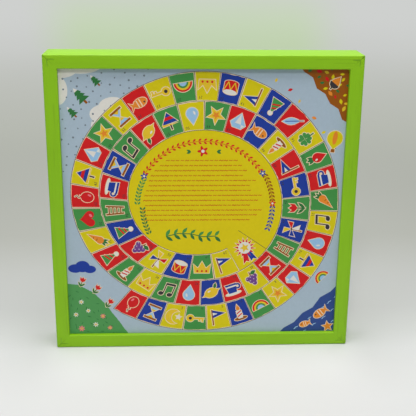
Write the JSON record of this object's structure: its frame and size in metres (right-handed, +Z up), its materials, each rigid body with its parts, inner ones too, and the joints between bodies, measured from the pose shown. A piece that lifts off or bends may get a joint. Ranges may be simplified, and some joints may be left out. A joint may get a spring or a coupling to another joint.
{
  "type": "board game box",
  "caption": "Square lacquered wooden game box with a recessed race game board in front and a sliding ludo board behind that closes the store for pawns and dice.",
  "frame": {"origin": "on the ground under the middle of the box as it stands on its lower rail", "axes": "+Z up, +X to the right and +Y away from a person who faces the race game"},
  "size_m": [0.29, 0.036, 0.29],
  "materials": {
    "lacquer": "lime green satin lacquer on wood, faint grain, slightly rounded edges",
    "plywood": "bare thin plywood with a fine grain",
    "race_print": "printed paper with a satin varnish",
    "ludo_print": "printed paper with a satin varnish",
    "nail_steel": "thin sheet steel, its end painted over with the frame",
    "die_wood": "fine sanded beech with dark pips",
    "pawn_red": "gloss lacquer on turned beech",
    "pawn_yellow": "gloss lacquer on turned beech",
    "pawn_blue": "gloss lacquer on turned beech",
    "pawn_green": "gloss lacquer on turned beech"
  },
  "bodies": {
    "frame": {"top_rail": "lacquer", "bottom_rail": "lacquer", "left_rail": "lacquer", "right_rail": "lacquer", "v_nail_top_left": "nail_steel", "v_nail_top_right": "nail_steel", "v_nail_bottom_left": "nail_steel", "v_nail_bottom_right": "nail_steel", "race_board": "plywood", "race_sheet": "race_print", "pawn_red_1": "pawn_red", "pawn_red_2": "pawn_red", "pawn_red_3": "pawn_red", "pawn_red_4": "pawn_red", "pawn_yellow_1": "pawn_yellow", "pawn_yellow_2": "pawn_yellow", "pawn_yellow_3": "pawn_yellow", "pawn_yellow_4": "pawn_yellow", "pawn_blue_1": "pawn_blue", "pawn_blue_2": "pawn_blue", "pawn_blue_3": "pawn_blue", "pawn_blue_4": "pawn_blue", "pawn_green_1": "pawn_green", "pawn_green_2": "pawn_green", "pawn_green_3": "pawn_green", "pawn_green_4": "pawn_green", "die_1": "die_wood", "die_2": "die_wood"},
    "ludo_slider": {"ludo_board": "plywood", "ludo_sheet": "ludo_print", "pull_strip": "lacquer"}
  },
  "joints": [
    {"name": "ludo_board_slide", "type": "slide", "parent": "frame", "child": "ludo_slider", "axis": [-1, 0, 0], "range_m": [0, 0.24]}
  ]
}
